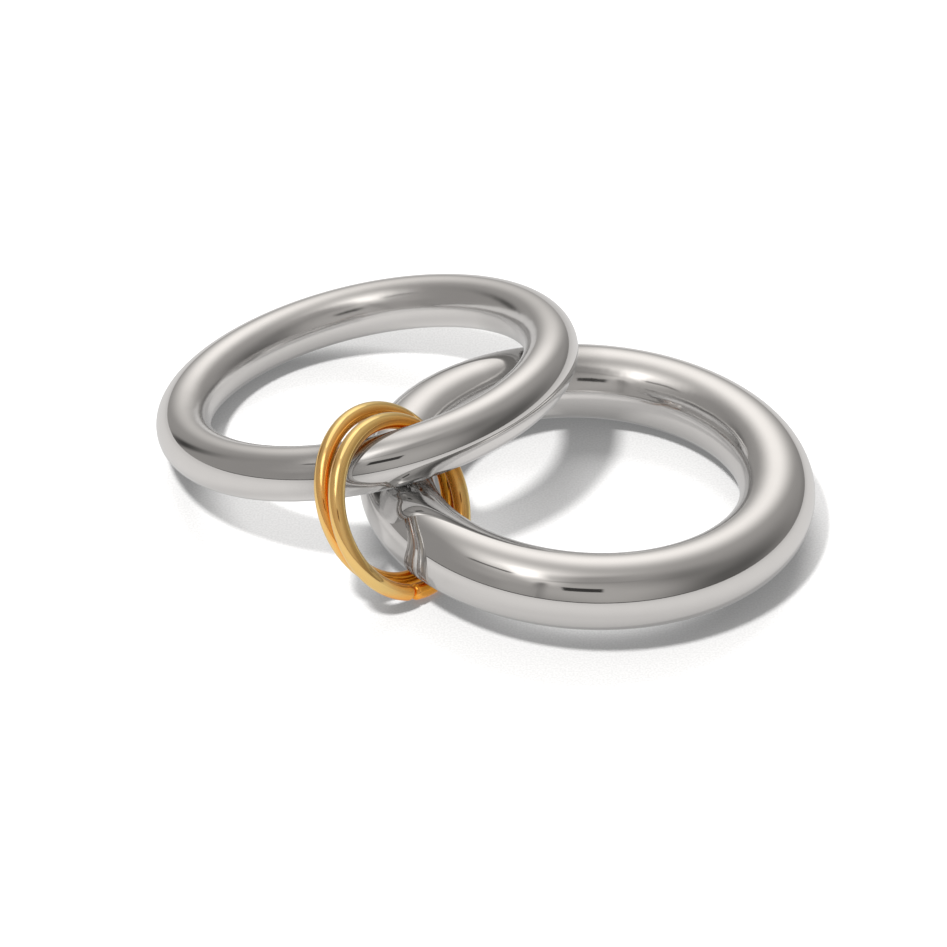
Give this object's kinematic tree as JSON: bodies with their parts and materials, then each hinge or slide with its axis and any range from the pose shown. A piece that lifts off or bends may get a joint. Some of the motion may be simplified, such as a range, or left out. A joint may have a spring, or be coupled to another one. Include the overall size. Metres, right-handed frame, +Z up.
{
  "type": "stacking ring",
  "caption": "Linked stacking ring: a thick and a thin plain round band of polished white metal, held together by yellow wire links, lying as put down.",
  "frame": {"origin": "centre of the whole ring's box, on the surface that it lies on", "axes": "+Z up, +X towards the thick band's side, +Y away from the side where the links are"},
  "size_m": [0.0356, 0.0302, 0.0087],
  "materials": {
    "silver": "mirror polished silver",
    "gold": "polished yellow gold"
  },
  "bodies": {
    "root": {"lower_band": "silver", "upper_band": "silver", "front_link": "gold", "rear_link": "gold"}
  },
  "joints": []
}
